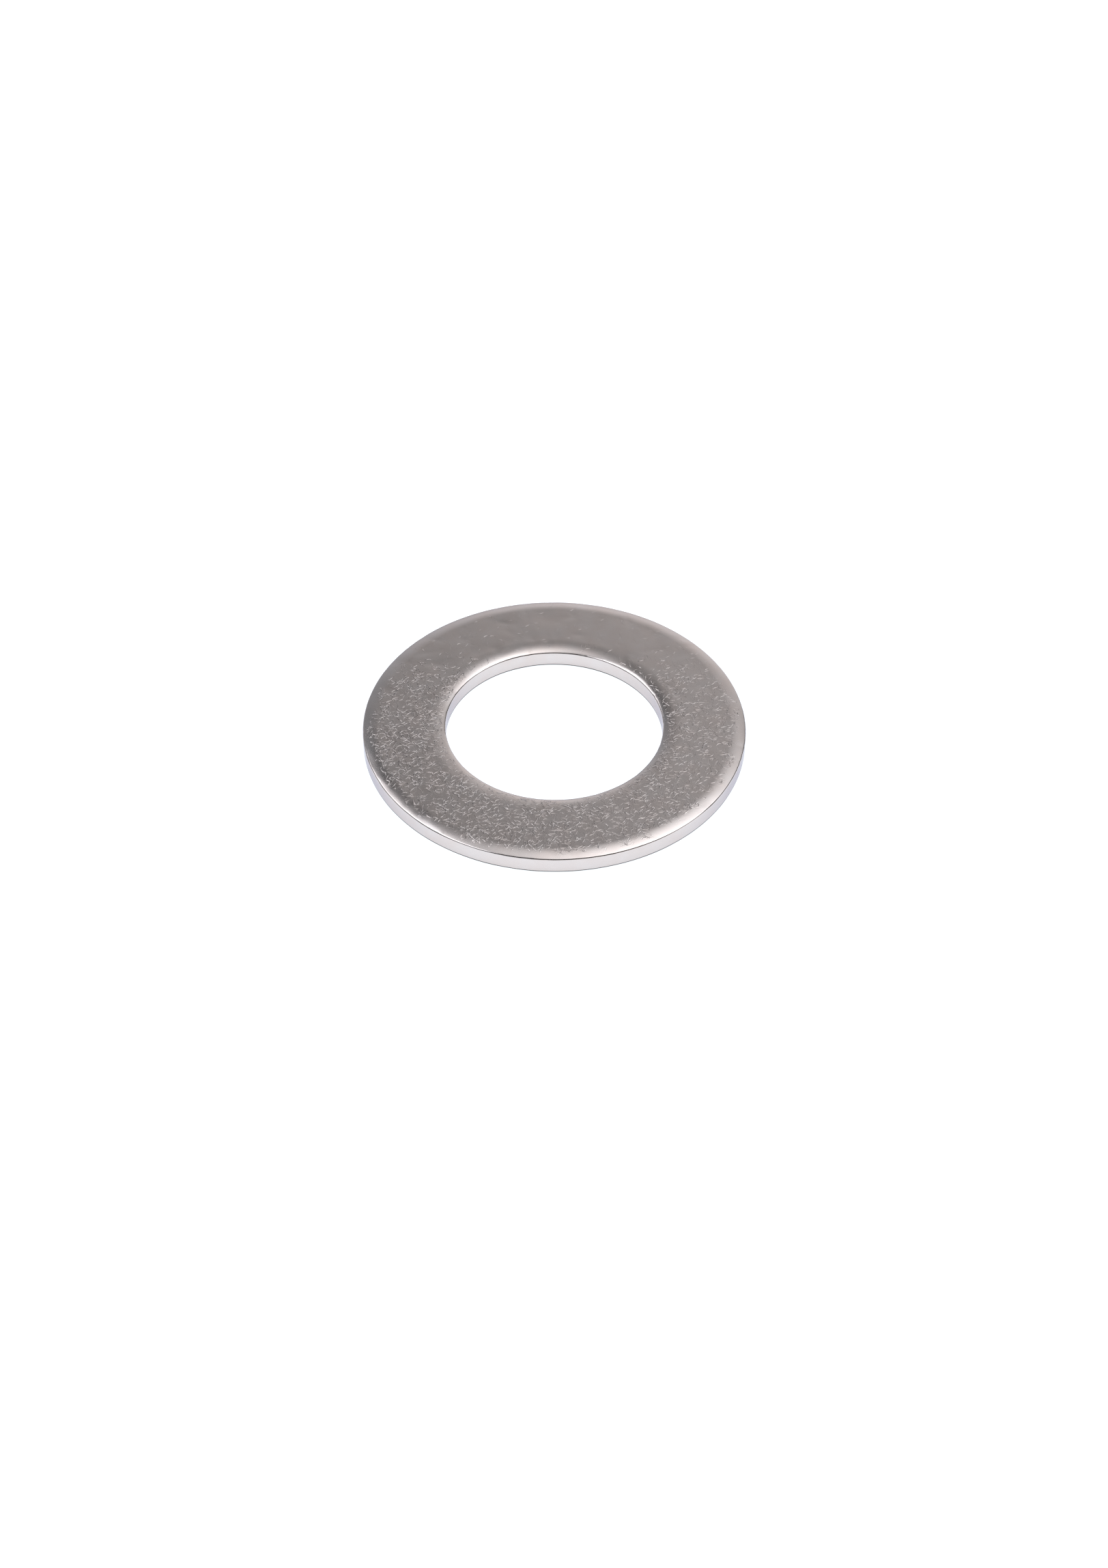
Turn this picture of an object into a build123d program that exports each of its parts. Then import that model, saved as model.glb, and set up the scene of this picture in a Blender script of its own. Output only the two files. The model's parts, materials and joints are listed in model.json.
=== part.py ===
from build123d import *
import os

# Flat washer for an M16 bolt, stamped in one stroke from 1.5 mm stainless sheet.
# The washer is one solid ring. Its axis is +Z, and its origin is the hole's centre on the lower face.
# The punches cut downwards through the upper face. That draws the metal down into a shallow curve beside
# each cut, the die roll, and leaves the lower edges square. Tumbling then breaks every edge slightly.

# Driving dimensions, in millimetres.
OUTER_DIAMETER = 30.0
HOLE_DIAMETER = 17.0
THICKNESS = 1.5

# Die rolls on the upper face: how far each reaches in from its wall, how deep it is at the wall, and the
# share of that reach at which the flat's line meets the slope's line. Half is a parabola, and more keeps
# the roll shallow for longer and steeper at its end.
RIM_ROLL_WIDTH = 1.2
RIM_ROLL_DEPTH = 0.22
RIM_ROLL_BEND = 0.43
HOLE_ROLL_WIDTH = 1.5
HOLE_ROLL_DEPTH = 0.25
HOLE_ROLL_BEND = 0.7

# Edges: the tight bend from each roll into its wall, and the tumbled edge at the lower face.
SHOULDER_RADIUS = 0.14
LOWER_EDGE_RADIUS = 0.06

OUTER_RADIUS = OUTER_DIAMETER / 2
HOLE_RADIUS = HOLE_DIAMETER / 2
RIM_SHOULDER_HEIGHT = THICKNESS - RIM_ROLL_DEPTH
HOLE_SHOULDER_HEIGHT = THICKNESS - HOLE_ROLL_DEPTH


def die_roll(wall_radius, width, depth, bend):
    """One roll, from its tangent start on the flat to the wall. A negative width reaches outwards."""
    start = (wall_radius - width, THICKNESS)
    corner = (wall_radius - width * (1 - bend), THICKNESS)
    end = (wall_radius, THICKNESS - depth)
    return Bezier(start, corner, end)


def at_height(edge, height):
    """True for a circular edge whose centre is at this height."""
    return abs(edge.center().Z - height) < 1e-4


with BuildPart() as washer:
    with BuildSketch(Plane.XZ):
        with BuildLine():
            rim_roll = die_roll(OUTER_RADIUS, RIM_ROLL_WIDTH, RIM_ROLL_DEPTH, RIM_ROLL_BEND)
            Line((OUTER_RADIUS, RIM_SHOULDER_HEIGHT), (OUTER_RADIUS, 0))
            Line((OUTER_RADIUS, 0), (HOLE_RADIUS, 0))
            Line((HOLE_RADIUS, 0), (HOLE_RADIUS, HOLE_SHOULDER_HEIGHT))
            hole_roll = die_roll(HOLE_RADIUS, -HOLE_ROLL_WIDTH, HOLE_ROLL_DEPTH, HOLE_ROLL_BEND)
            Line(hole_roll @ 0, rim_roll @ 0)
        make_face()
    revolve(axis=Axis.Z)

    rim_shoulder = washer.edges().filter_by(lambda e: at_height(e, RIM_SHOULDER_HEIGHT))
    hole_shoulder = washer.edges().filter_by(lambda e: at_height(e, HOLE_SHOULDER_HEIGHT))
    fillet(rim_shoulder + hole_shoulder, radius=SHOULDER_RADIUS)
    lower_edges = washer.edges().filter_by(lambda e: at_height(e, 0))
    fillet(lower_edges, radius=LOWER_EDGE_RADIUS)

washer.part.label = "washer"

os.makedirs("parts", exist_ok=True)
export_step(washer.part, "parts/washer.step")
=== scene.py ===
import json
import math

import bpy
import numpy as np
from mathutils import Matrix, Vector


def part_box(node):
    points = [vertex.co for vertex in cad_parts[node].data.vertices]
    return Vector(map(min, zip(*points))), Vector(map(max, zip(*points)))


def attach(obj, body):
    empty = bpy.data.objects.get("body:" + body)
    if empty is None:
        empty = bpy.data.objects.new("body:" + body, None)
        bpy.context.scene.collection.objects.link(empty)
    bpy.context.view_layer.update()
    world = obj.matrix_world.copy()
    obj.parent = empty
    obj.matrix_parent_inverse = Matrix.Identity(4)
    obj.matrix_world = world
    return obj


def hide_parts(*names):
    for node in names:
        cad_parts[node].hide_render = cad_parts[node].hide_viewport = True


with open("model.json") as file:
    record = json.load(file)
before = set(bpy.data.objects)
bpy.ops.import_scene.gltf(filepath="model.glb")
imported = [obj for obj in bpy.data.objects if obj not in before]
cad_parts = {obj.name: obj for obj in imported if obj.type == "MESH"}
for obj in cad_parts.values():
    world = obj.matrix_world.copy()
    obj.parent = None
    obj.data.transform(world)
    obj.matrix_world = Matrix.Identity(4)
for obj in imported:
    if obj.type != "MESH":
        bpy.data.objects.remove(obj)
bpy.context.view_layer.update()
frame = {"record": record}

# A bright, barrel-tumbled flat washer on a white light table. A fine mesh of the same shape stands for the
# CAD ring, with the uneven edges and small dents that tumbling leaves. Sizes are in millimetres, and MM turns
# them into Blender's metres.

MM = 0.001
rng = np.random.default_rng(16)

# ---------------------------------------------------------------- sizes

low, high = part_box("washer")
OUTER_RADIUS = (high.x - low.x) / 2 / MM
THICKNESS = (high.z - low.z) / MM
BORE = next(m for m in frame["record"]["mounts"] if m["name"] == "bore")
HOLE_RADIUS = BORE["dims"]["r_mm"]

# The rolls that the punches leave on the upper face, as in the CAD ring: reach from the wall, depth at the
# wall, and the share of the reach at which the flat's line meets the slope's line.
RIM_ROLL = {"reach": 1.2, "depth": 0.22, "bend": 0.43}
HOLE_ROLL = {"reach": 1.5, "depth": 0.25, "bend": 0.7}
SHOULDER_RADIUS = 0.14
SHOULDER_DROP = 0.27    # from the flat down to the shoulders, where the nicks lie
LOWER_EDGE_RADIUS = 0.06

SEGMENTS = 720
LOOP_POINTS = {"flat": 46, "roll": 17, "shoulder": 9, "wall": 9, "edge": 5, "underside": 12}
CURVE_POINTS = 400      # points of a roll's exact curve, from which its mesh points are read

# Relief that tumbling leaves, as real shape. A pair is the smallest and the largest of a random size.
INSET = 0.009           # the smooth skin lies this far inside the CAD ring, so that nothing leaves its box
WAVES = {"count": 9, "length": (2.0, 5.0), "height": 0.001}
DENTS = [
    {"count": 420, "length": (0.25, 0.6), "width": (0.12, 0.24), "depth": (0.001, 0.0035)},
    {"count": 440, "length": (0.9, 2.4), "width": (0.5, 1.2), "depth": (0.003, 0.009)},
]
NICKS = {"count": 120, "length": (0.2, 0.5), "width": (0.1, 0.22), "depth": (0.003, 0.015)}
NICK_PLACE = (-0.2, 0.6)    # in from the wall, as a share of the shoulder's radius
FADE_REACH = 3              # a dent or nick is worked out to this many half-lengths from its middle
FACE_UP = 0.5               # a dent marks only points whose normal is at least this upright


# ---------------------------------------------------------------- the ring's section

def bezier(p0, p1, p2, t):
    """Points of a quadratic curve, one for each t."""
    t = t[:, None]
    return (1 - t) ** 2 * np.array(p0) + 2 * t * (1 - t) * np.array(p1) + t ** 2 * np.array(p2)


def arc(centre, radius, start, end, count):
    """Points of an arc from one angle to another, in degrees."""
    a = np.radians(np.linspace(start, end, count))
    return np.stack([centre[0] + radius * np.cos(a), centre[1] + radius * np.sin(a)], -1)


def line(p0, p1, count):
    """Evenly spaced points from p0 to p1."""
    t = np.linspace(0, 1, count)[:, None]
    return (1 - t) * np.array(p0) + t * np.array(p1)


def upper_edge(wall, roll, side):
    """The roll and the shoulder, from the flat to the wall. side is 1 at the rim and -1 at the hole."""
    reach, depth, bend = roll["reach"], roll["depth"], roll["bend"]
    end_slope = math.atan2(depth, reach * (1 - bend))
    setback = SHOULDER_RADIUS * math.tan((math.pi / 2 - end_slope) / 2)
    last = reach - setback * math.cos(end_slope)
    fine = bezier((0, 0), (reach * bend, 0), (reach, -depth), np.linspace(0, 1, CURVE_POINTS))
    x = np.linspace(0, last, LOOP_POINTS["roll"])
    curve = np.stack([x, np.interp(x, fine[:, 0], fine[:, 1])], -1)
    centre = (reach - SHOULDER_RADIUS, -depth - setback)
    bend_over = arc(centre, SHOULDER_RADIUS, 90 - math.degrees(end_slope), 0, LOOP_POINTS["shoulder"])
    points = np.concatenate([curve[:-1], bend_over])
    return np.stack([wall - side * (reach - points[:, 0]), THICKNESS + points[:, 1]], -1)


def section():
    """Closed loop of (radius, height), starting at the hole's roll and going outwards over the upper face."""
    rim = upper_edge(OUTER_RADIUS, RIM_ROLL, 1)
    hole = upper_edge(HOLE_RADIUS, HOLE_ROLL, -1)
    e = LOWER_EDGE_RADIUS
    n = LOOP_POINTS
    return np.concatenate([
        line(hole[0], rim[0], n["flat"])[:-1],
        rim,
        line(rim[-1], (OUTER_RADIUS, e), n["wall"])[1:],
        arc((OUTER_RADIUS - e, e), e, 0, -90, n["edge"])[1:],
        line((OUTER_RADIUS - e, 0), (HOLE_RADIUS + e, 0), n["underside"])[1:],
        arc((HOLE_RADIUS + e, e), e, -90, -180, n["edge"])[1:],
        line((HOLE_RADIUS, e), hole[-1], n["wall"])[1:],
        hole[::-1][1:-1],
    ])


def section_normals(loop):
    """The outward direction at each point of the loop."""
    ahead = np.roll(loop, -1, 0) - loop
    ahead /= np.linalg.norm(ahead, axis=1)[:, None]
    along = ahead + np.roll(ahead, 1, 0)
    along /= np.linalg.norm(along, axis=1)[:, None]
    return np.stack([-along[:, 1], along[:, 0]], -1)


# ---------------------------------------------------------------- mesh

def revolve(values):
    """Pairs of (radial, upright) values turned about +Z, as rows of x, y and z for each segment."""
    a = np.arange(SEGMENTS) * 2 * math.pi / SEGMENTS
    c, s = np.cos(a)[:, None], np.sin(a)[:, None]
    upright = np.broadcast_to(values[:, 1], (SEGMENTS, len(values)))
    return np.stack([c * values[:, 0], s * values[:, 0], upright], -1)


def build_ring():
    """The section turned about +Z, moved by its relief, as one closed mesh of four-sided faces."""
    loop = section()
    count = len(loop)
    place = revolve(loop)
    normal = revolve(section_normals(loop))
    lift = relief(place.reshape(-1, 3), normal.reshape(-1, 3)).reshape(SEGMENTS, count, 1)
    verts = place + normal * lift
    i = np.arange(SEGMENTS)[:, None] * count
    j = np.arange(count)[None, :]
    i_next = (i + count) % (SEGMENTS * count)
    j_next = (j + 1) % count
    faces = np.stack([i + j, i_next + j, i_next + j_next, i + j_next], -1).reshape(-1, 4)
    mesh = bpy.data.meshes.new("washer_ring")
    mesh.from_pydata((verts.reshape(-1, 3) * MM).tolist(), [], faces.tolist())
    mesh.validate()
    mesh.shade_smooth()
    ring = bpy.data.objects.new("washer_ring", mesh)
    bpy.context.scene.collection.objects.link(ring)
    return ring


def relief(place, normal):
    """How far each point moves along its normal: waves in the sheet, small dents, and nicks in the edges."""
    lift = np.full(len(place), -INSET)
    # The waves are half as high on the walls as on the faces.
    height = WAVES["height"] * (0.5 + 0.5 * np.abs(normal[:, 2]))
    for _ in range(WAVES["count"]):
        turn = rng.uniform(0, 2 * math.pi)
        length = rng.uniform(*WAVES["length"])
        phase = rng.uniform(0, 2 * math.pi)
        along = place[:, 0] * math.cos(turn) + place[:, 1] * math.sin(turn)
        lift += height * np.sin(2 * math.pi / length * along + phase)
    for dents in DENTS:
        for k in range(dents["count"]):
            side = 1 if k % 2 else -1
            radius = math.sqrt(rng.uniform(HOLE_RADIUS ** 2, OUTER_RADIUS ** 2))
            a = rng.uniform(0, 2 * math.pi)
            at = np.array([radius * math.cos(a), radius * math.sin(a)])
            turn = rng.uniform(0, math.pi)
            half_length = rng.uniform(*dents["length"]) / 2
            half_width = rng.uniform(*dents["width"]) / 2
            depth = rng.uniform(*dents["depth"])
            off = place[:, :2] - at
            near = (np.abs(off).max(1) < FADE_REACH * half_length) & (normal[:, 2] * side > FACE_UP)
            u = off[near, 0] * math.cos(turn) + off[near, 1] * math.sin(turn)
            v = off[near, 1] * math.cos(turn) - off[near, 0] * math.sin(turn)
            lift[near] -= depth * np.exp(-(u / half_length) ** 2 - (v / half_width) ** 2)
    for k in range(NICKS["count"]):
        wall, inward = ((OUTER_RADIUS, -1), (HOLE_RADIUS, 1))[k % 2]
        radius = wall + inward * SHOULDER_RADIUS * rng.uniform(*NICK_PLACE)
        a = rng.uniform(0, 2 * math.pi)
        at = np.array([radius * math.cos(a), radius * math.sin(a), THICKNESS - SHOULDER_DROP])
        half_length = rng.uniform(*NICKS["length"]) / 2
        half_width = rng.uniform(*NICKS["width"]) / 2
        depth = rng.uniform(*NICKS["depth"])
        off = place - at
        near = np.abs(off).max(1) < FADE_REACH * half_length
        along = off[near, 1] * math.cos(a) - off[near, 0] * math.sin(a)
        across = np.hypot(off[near, 0] * math.cos(a) + off[near, 1] * math.sin(a), off[near, 2])
        lift[near] -= depth * np.exp(-(along / half_length) ** 2 - (across / half_width) ** 2)
    return lift


washer = build_ring()


# ---------------------------------------------------------------- node helper

class Nodes:
    """Short calls for making and joining shader nodes in one tree."""

    def __init__(self, tree):
        self.tree = tree

    def new(self, kind, **settings):
        """A new node with these settings."""
        made = self.tree.nodes.new(kind)
        for key, setting in settings.items():
            setattr(made, key, setting)
        return made

    def put(self, socket, source):
        """Join another node's output to a socket, or set the socket's own value."""
        if isinstance(source, bpy.types.NodeSocket):
            self.tree.links.new(source, socket)
        else:
            socket.default_value = source

    def math(self, operation, a, b=0.0):
        made = self.new("ShaderNodeMath", operation=operation)
        self.put(made.inputs[0], a)
        self.put(made.inputs[1], b)
        return made.outputs[0]

    def vector(self, operation, a, b=(0, 0, 0), scale=None):
        made = self.new("ShaderNodeVectorMath", operation=operation)
        self.put(made.inputs[0], a)
        self.put(made.inputs[1], b)
        if scale is not None:
            self.put(made.inputs["Scale"], scale)
        return made.outputs["Value" if operation in ("DOT_PRODUCT", "LENGTH") else "Vector"]

    def smooth(self, x, start, end, low=0.0, high=1.0):
        """A soft step from low, where x is at most start, to high, where it is at least end."""
        made = self.new("ShaderNodeMapRange", interpolation_type="SMOOTHSTEP")
        for socket, source in zip(made.inputs, (x, start, end, low, high)):
            self.put(socket, source)
        return made.outputs[0]

    def split(self, vector):
        made = self.new("ShaderNodeSeparateXYZ")
        self.put(made.inputs[0], vector)
        return made.outputs

    def join(self, x=0.0, y=0.0, z=0.0):
        made = self.new("ShaderNodeCombineXYZ")
        for socket, source in zip(made.inputs, (x, y, z)):
            self.put(socket, source)
        return made.outputs[0]

    def noise(self, vector, scale, detail=2.0, roughness=0.5):
        made = self.new("ShaderNodeTexNoise")
        self.put(made.inputs["Vector"], vector)
        made.inputs["Scale"].default_value = scale
        made.inputs["Detail"].default_value = detail
        made.inputs["Roughness"].default_value = roughness
        return made.outputs[0]

    def ramp(self, factor, stops):
        """A colour that goes straight from each (position, colour) stop to the next."""
        made = self.new("ShaderNodeValToRGB")
        self.put(made.inputs[0], factor)
        elements = made.color_ramp.elements
        elements[0].position, elements[1].position = stops[0][0], stops[-1][0]
        elements[0].color, elements[1].color = (*stops[0][1], 1), (*stops[-1][1], 1)
        for position, colour in stops[1:-1]:
            elements.new(position).color = (*colour, 1)
        return made.outputs[0]


# ---------------------------------------------------------------- metal

METAL = (0.63, 0.566, 0.55)
COOL_METAL = (0.638, 0.587, 0.578)
GRAZING_TINT = (0.66, 0.66, 0.735)

# Short tumbling marks: each layer takes the next of these sizes, in millimetres.
STROKE_LAYERS = 8
STROKE_DEPTH = 0.027
CELL_SIZES = (0.6, 0.66, 0.72, 0.78)
HALF_LENGTHS = (0.18, 0.22, 0.26)
HALF_WIDTHS = (0.02, 0.025, 0.03)
STROKE_CURL = 4.0           # range of bends, as the sideways run over the square of the length
BANK_HEIGHT = 0.42          # raised metal beside each groove, as a share of its depth
BANK_SPREAD = 0.3           # less is wider, and 1 is as narrow as the groove
STRENGTH_POWER = 1.5        # more makes faint marks commoner
RARITY_BLUR = 0.1           # how gradually marks go out as they get rarer
DRIFT = 5.0                 # how far the edges of the worn area wander, in millimetres
GRAIN_DEPTH = 0.0005

# Ranges for Nodes.smooth: where it starts and ends, and the values there.
FACE_LEVEL = (0.977, 0.996)             # how upright the normal is where marks begin, and where all are in
RAGGED_LINE = (0.3, 0.7, -0.016, 0.016)
HOLE_MARKS = (HOLE_RADIUS + 0.4, HOLE_RADIUS + 1.5, 0.022, 0.0)
RARE_TO_BACK = (4.5, 11.5, 0.27, 0.95)
WEAK_TO_BACK = (5.0, 11.0, 1.0, 0.55)
STRONG_ON_LEFT = (-9.0, 3.0, 1.4, 1.0)
PATCHES = (0.35, 0.62, 0.55, 1.0)
TINT_PATCHES = (0.3, 0.7)
ROLL_TO_FLAT_ROUGHNESS = (0.97, 0.998, 0.195, 0.2)
UNEVEN_ROUGHNESS = (0.3, 0.7, -0.015, 0.015)
LOWER_EDGE_SHADE = (0.095, 0.125, 0.1, 1.0)   # height in millimetres where the painted shade along the lower edges fades out
# Painted shade: the base colour darkens in the deepest marks and beside them, on their raised banks.
CORE_SHADE = (0.16, 0.36, 1.0, 0.4)
BANK_SHADE = (-0.14, -0.01, 0.68, 1.0)


def stroke_layer(n, plane, k, rarity):
    """Depth of one scatter of short curved marks over a plane: one mark to each Voronoi cell, less the share
    of them that rarity takes out. It is below 0 on their raised banks."""
    cell = CELL_SIZES[k % len(CELL_SIZES)]
    half_length = HALF_LENGTHS[k % len(HALF_LENGTHS)]
    half_width = HALF_WIDTHS[k % len(HALF_WIDTHS)]
    # Each layer is moved and turned, so that no two have the same cells.
    turned = n.new("ShaderNodeMapping")
    n.put(turned.inputs["Vector"], plane)
    turned.inputs["Location"].default_value = (17.3 * k + 3.1, 9.7 * k + 5.3, 0)
    turned.inputs["Rotation"].default_value = (0, 0, 0.9 * k)
    turned.inputs["Scale"].default_value = (1 / cell, 1 / cell, 1)
    cells = n.new("ShaderNodeTexVoronoi", voronoi_dimensions="2D", feature="F1")
    cells.inputs["Scale"].default_value = 1.0
    cells.inputs["Randomness"].default_value = 0.85
    n.put(cells.inputs["Vector"], turned.outputs[0])
    # Each cell's random colour gives its mark's direction, bend and strength.
    chance = n.new("ShaderNodeSeparateColor")
    n.put(chance.inputs[0], cells.outputs["Color"])
    offset = n.vector("SUBTRACT", turned.outputs[0], cells.outputs["Position"])
    spin = n.new("ShaderNodeVectorRotate", rotation_type="Z_AXIS")
    n.put(spin.inputs["Vector"], offset)
    n.put(spin.inputs["Angle"], n.math("MULTIPLY", chance.outputs[0], 2 * math.pi))
    x, y, _ = n.split(spin.outputs[0])
    x = n.math("MULTIPLY", x, cell)
    y = n.math("MULTIPLY", y, cell)
    curl = n.math("MULTIPLY", n.math("SUBTRACT", chance.outputs[1], 0.5), STROKE_CURL)
    y = n.math("SUBTRACT", y, n.math("MULTIPLY", curl, n.math("MULTIPLY", x, x)))
    along = n.math("MULTIPLY", x, 1 / half_length)
    across = n.math("MULTIPLY", y, 1 / half_width)
    spread = n.vector("DOT_PRODUCT", n.join(along, across), n.join(along, across))
    groove = n.math("EXPONENT", n.math("MULTIPLY", spread, -1.0))
    banks = n.math("EXPONENT", n.math("MULTIPLY", spread, -BANK_SPREAD))
    shape = n.math("SUBTRACT", groove, n.math("MULTIPLY", banks, BANK_HEIGHT))
    strength = n.math("POWER", chance.outputs[2], STRENGTH_POWER)
    kept = n.smooth(n.math("SUBTRACT", chance.outputs[2], rarity), -RARITY_BLUR, RARITY_BLUR)
    return n.math("MULTIPLY", shape, n.math("MULTIPLY", strength, kept))


def tumbled_metal():
    """Stainless steel with a scatter of small marks, uneven roughness, and painted shade along its lower
    edges and in and beside the marks.
    """
    material = bpy.data.materials.new("tumbled_stainless")
    material.use_nodes = True
    n = Nodes(material.node_tree)
    shader = material.node_tree.nodes["Principled BSDF"]
    shader.inputs["Metallic"].default_value = 1.0
    shader.inputs["Specular Tint"].default_value = (*GRAZING_TINT, 1)

    geometry = n.new("ShaderNodeNewGeometry")
    coords = n.new("ShaderNodeTexCoord")
    place = n.vector("SCALE", coords.outputs["Object"], scale=1 / MM)
    _, _, up = n.split(geometry.outputs["Normal"])
    level = n.math("ABSOLUTE", up)
    x, y, z = n.split(place)
    plane = n.join(x, y)
    # Marks fade out along a ragged line on each roll, and go further down the hole's.
    ragged = n.smooth(n.noise(place, 0.8), *RAGGED_LINE)
    further = n.smooth(n.vector("LENGTH", plane), *HOLE_MARKS)
    face = n.smooth(n.math("ADD", n.math("ADD", level, ragged), further), *FACE_LEVEL)

    # They are rare towards +Y, crowded in patches, and strongest towards -X.
    drift = n.math("ADD", y, n.math("MULTIPLY", n.noise(place, 0.3), DRIFT))
    rarity = n.smooth(drift, *RARE_TO_BACK)
    depth = stroke_layer(n, plane, 0, rarity)
    for k in range(1, STROKE_LAYERS):
        depth = n.math("ADD", depth, stroke_layer(n, plane, k, rarity))
    patches = n.smooth(n.noise(place, 0.35, 3.0, 0.6), *PATCHES)
    worn = n.math("MULTIPLY", patches, n.smooth(x, *STRONG_ON_LEFT))
    worn = n.math("MULTIPLY", worn, n.smooth(drift, *WEAK_TO_BACK))
    marks = n.math("MULTIPLY", n.math("MULTIPLY", depth, worn), face)
    strokes = n.math("MULTIPLY", marks, -STROKE_DEPTH)

    grain = n.math("MULTIPLY", n.noise(place, 9.0, 3.0, 0.6), n.math("MULTIPLY", face, GRAIN_DEPTH))
    bump = n.new("ShaderNodeBump")
    bump.inputs["Strength"].default_value = 1.0
    bump.inputs["Distance"].default_value = MM
    n.put(bump.inputs["Height"], n.math("ADD", strokes, grain))
    n.put(shader.inputs["Normal"], bump.outputs[0])

    rough = n.smooth(level, *ROLL_TO_FLAT_ROUGHNESS)
    rough = n.math("ADD", rough, n.smooth(n.noise(place, 1.1, 4.0, 0.6), *UNEVEN_ROUGHNESS))
    n.put(shader.inputs["Roughness"], rough)

    tone = n.smooth(n.noise(place, 0.6, 3.0, 0.55), *TINT_PATCHES)
    tint = n.ramp(tone, [(0.0, METAL), (1.0, COOL_METAL)])
    # Painted shade: a fine dark line along the lower edges, where the washer meets the table, and darkening
    # in the deepest marks and beside them.
    painted_shade = n.math("MULTIPLY", n.smooth(z, *LOWER_EDGE_SHADE), n.smooth(marks, *CORE_SHADE))
    painted_shade = n.math("MULTIPLY", painted_shade, n.smooth(marks, *BANK_SHADE))
    n.put(shader.inputs["Base Color"], n.vector("SCALE", tint, scale=painted_shade))
    return material


washer.data.materials.append(tumbled_metal())
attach(washer, "root")
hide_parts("washer")


# ---------------------------------------------------------------- light table

TABLE_HALF = 3.0        # in metres, far past the view on every side
TABLE_GLOW = 1.02
TABLE_GLOW_COLOUR = (0.915, 0.965, 1.0)
TABLE_COLOUR = (0.45, 0.47, 0.49)


def light_table():
    """A level white sheet with an even glow, which the washer lies on."""
    mesh = bpy.data.meshes.new("table")
    s = TABLE_HALF
    mesh.from_pydata([(-s, -s, 0), (s, -s, 0), (s, s, 0), (-s, s, 0)], [], [(0, 1, 2, 3)])
    table = bpy.data.objects.new("table", mesh)
    bpy.context.scene.collection.objects.link(table)
    material = bpy.data.materials.new("white_table")
    material.use_nodes = True
    shader = material.node_tree.nodes["Principled BSDF"]
    shader.inputs["Base Color"].default_value = (*TABLE_COLOUR, 1)
    shader.inputs["Roughness"].default_value = 0.9
    shader.inputs["Specular IOR Level"].default_value = 0.0
    shader.inputs["Emission Color"].default_value = (*TABLE_GLOW_COLOUR, 1)
    shader.inputs["Emission Strength"].default_value = TABLE_GLOW
    mesh.materials.append(material)


light_table()


# ---------------------------------------------------------------- studio light

# Here x, y and z are the parts of a direction. A pair is where a soft step starts and ends, and in the four
# numbers of the left side, the last two are the values there.
WALL_GLOW = [(0, 0.95), (8, 0.82), (16, 0.97), (24, 0.76), (32, 0.56), (38, 0.495), (43, 0.262), (50, 0.17),
             (60, 0.4), (72, 0.8), (90, 1.0)]      # by degrees above the table
WALL_TINT = [(0.0, (0.9, 0.95, 1.0)), (1.0, (1.0, 0.98, 0.965))]
WALL_TINT_X = (-0.5, 0.1)
LEFT_LEVEL_Z = (0.73, 0.87, 0.5, 0.8)
LEFT_END_X = (-0.45, 0.08)
LEFT_CORNER_X = (-0.98, -0.8, 0.85, 0.0)
RIGHT_END_X = (0.38, 0.64)
RIGHT_END_Y = (-0.3, 0.1)
RIGHT_DARKNESS = 0.9
CAMERA_SIDE_Y = (-0.4, 0.3)
CAMERA_SIDE_Z = (0.2, 0.45)
CAMERA_SIDE_DARKNESS = 0.96
# Each light is a soft-edged patch of a plane: its low and high edge one way, the blur of each, and the same
# the other way.
OVERHEAD_ACROSS = (0.213, 1.25, 0.47, 0.4)
OVERHEAD_ALONG = (-0.14, 0.4, 0.15, 1.1)
OVERHEAD_COLOUR = (3.66, 3.76, 3.84)
WINDOW_DEPTH = (-1.0, 1.21, 0.2, 0.06)
WINDOW_RISE = (1.08, 2.95, 0.1, 0.3)
WINDOW_COLOUR = (2.15, 2.2, 2.28)
HORIZON_Z = (0.0, 0.02)
SEEN_BY_CAMERA = 1.3    # plain white, brighter than the picture can show
SMALL = 0.001           # keeps a division away from 0


def between(n, x, low_edge, high_edge, low_blur, high_blur):
    """1 between two edges and 0 outside them, with a soft step of the given half-width at each."""
    rise = n.smooth(x, low_edge - low_blur, low_edge + low_blur)
    fall = n.smooth(x, high_edge - high_blur, high_edge + high_blur, 1.0, 0.0)
    return n.math("MULTIPLY", rise, fall)


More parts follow.
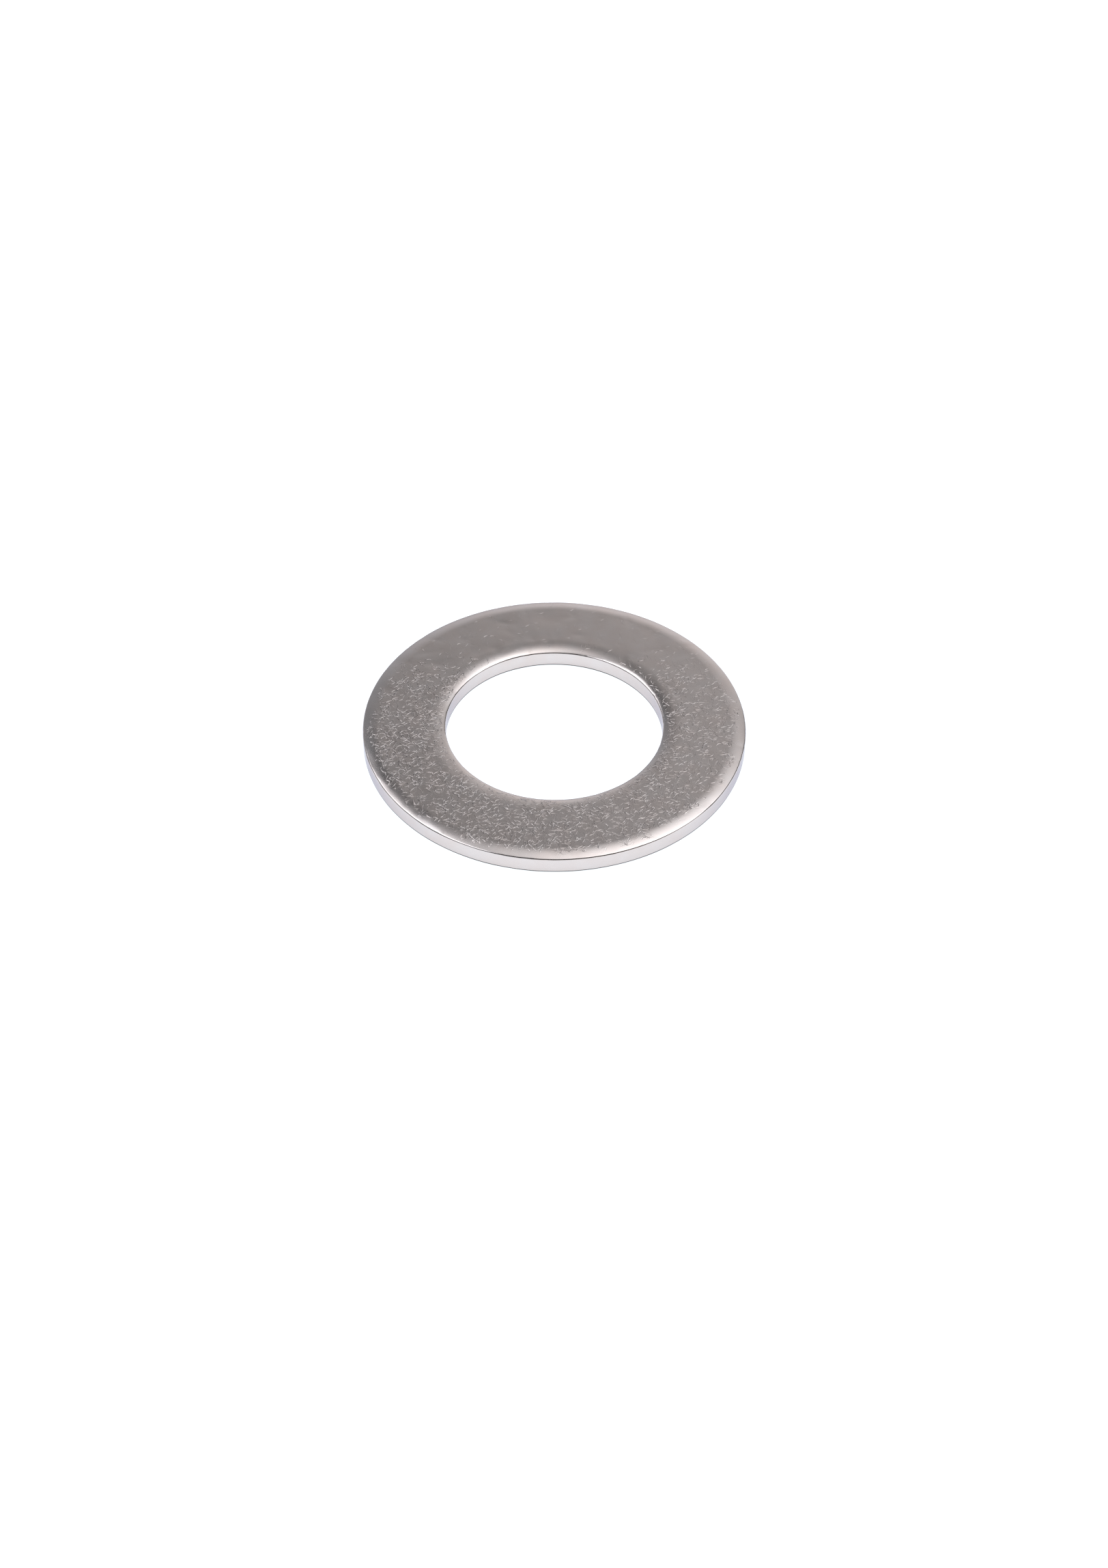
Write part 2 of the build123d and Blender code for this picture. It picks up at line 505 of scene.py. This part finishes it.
def studio():
    """A wall round the table, a wide soft light overhead to the right, and a hard-edged window on the left.
    Only reflections show them: the camera sees plain white."""
    world = bpy.data.worlds.new("studio")
    bpy.context.scene.world = world
    world.use_nodes = True
    world.node_tree.nodes.clear()
    n = Nodes(world.node_tree)
    direction = n.new("ShaderNodeTexCoord").outputs["Generated"]
    x, y, z = n.split(direction)

    wall = n.ramp(z, [(math.sin(math.radians(e)), (v, v, v)) for e, v in WALL_GLOW])
    # The wall is dimmer to the left, with a pale corner at its end, and dark on the right and behind the
    # camera.
    left_level = n.smooth(z, *LEFT_LEVEL_Z)
    left_end = n.smooth(x, *LEFT_END_X, left_level, 1.0)
    left_end = n.math("MAXIMUM", left_end, n.smooth(x, *LEFT_CORNER_X))
    right_end = n.math("MULTIPLY", n.smooth(x, *RIGHT_END_X), n.smooth(y, *RIGHT_END_Y))
    right_end = n.math("SUBTRACT", 1.0, n.math("MULTIPLY", right_end, RIGHT_DARKNESS))
    camera_side = n.math("SUBTRACT", 1.0, n.smooth(y, *CAMERA_SIDE_Y))
    camera_side = n.math("MULTIPLY", camera_side, n.smooth(z, *CAMERA_SIDE_Z))
    camera_side = n.math("SUBTRACT", 1.0, n.math("MULTIPLY", camera_side, CAMERA_SIDE_DARKNESS))
    ends = n.math("MULTIPLY", n.math("MULTIPLY", left_end, right_end), camera_side)
    tint = n.ramp(n.smooth(x, *WALL_TINT_X), WALL_TINT)
    wall = n.vector("SCALE", n.vector("MULTIPLY", wall, tint), scale=ends)

    # The overhead light lies in a level plane: its place is the direction divided by its own height.
    above = n.math("MAXIMUM", z, SMALL)
    across = between(n, n.math("DIVIDE", x, above), *OVERHEAD_ACROSS)
    along = between(n, n.math("DIVIDE", y, above), *OVERHEAD_ALONG)
    overhead = n.vector("SCALE", OVERHEAD_COLOUR, scale=n.math("MULTIPLY", across, along))

    # The window stands in an upright plane on the left.
    leftward = n.math("MAXIMUM", n.math("MULTIPLY", x, -1.0), SMALL)
    depth = between(n, n.math("DIVIDE", y, leftward), *WINDOW_DEPTH)
    rise = between(n, n.math("DIVIDE", z, leftward), *WINDOW_RISE)
    window = n.math("MULTIPLY", n.math("MULTIPLY", depth, rise), n.smooth(z, *HORIZON_Z))
    window = n.vector("SCALE", WINDOW_COLOUR, scale=window)

    light = n.vector("ADD", n.vector("ADD", wall, overhead), window)
    seen = n.new("ShaderNodeMix", data_type="RGBA")
    n.put(seen.inputs[0], n.new("ShaderNodeLightPath").outputs["Is Camera Ray"])
    n.put(seen.inputs[6], light)
    seen.inputs[7].default_value = (SEEN_BY_CAMERA, SEEN_BY_CAMERA, SEEN_BY_CAMERA, 1)
    background = n.new("ShaderNodeBackground")
    n.put(background.inputs["Color"], seen.outputs[2])
    n.put(n.new("ShaderNodeOutputWorld").inputs[0], background.outputs[0])


studio()


# ---------------------------------------------------------------- camera

LENS = 56.83
SENSOR = 36.0
CAMERA_PLACE = (0.0, -143.63, 131.45)
CAMERA_PITCH = 43.58    # degrees below level
CAMERA_ROLL = 0.287
CLIP = (0.01, 20)       # in metres


def camera():
    """The view that the object is seen from, with no shift and no depth of field."""
    data = bpy.data.cameras.new("camera")
    data.lens = LENS
    data.sensor_width = SENSOR
    data.clip_start, data.clip_end = CLIP
    made = bpy.data.objects.new("camera", data)
    bpy.context.scene.collection.objects.link(made)
    tilt = Matrix.Rotation(math.radians(90 - CAMERA_PITCH), 4, "X")
    roll = Matrix.Rotation(math.radians(CAMERA_ROLL), 4, "Z")
    made.matrix_world = Matrix.Translation(Vector(CAMERA_PLACE) * MM) @ tilt @ roll
    bpy.context.scene.camera = made


camera()
bpy.context.scene.view_settings.view_transform = "Standard"
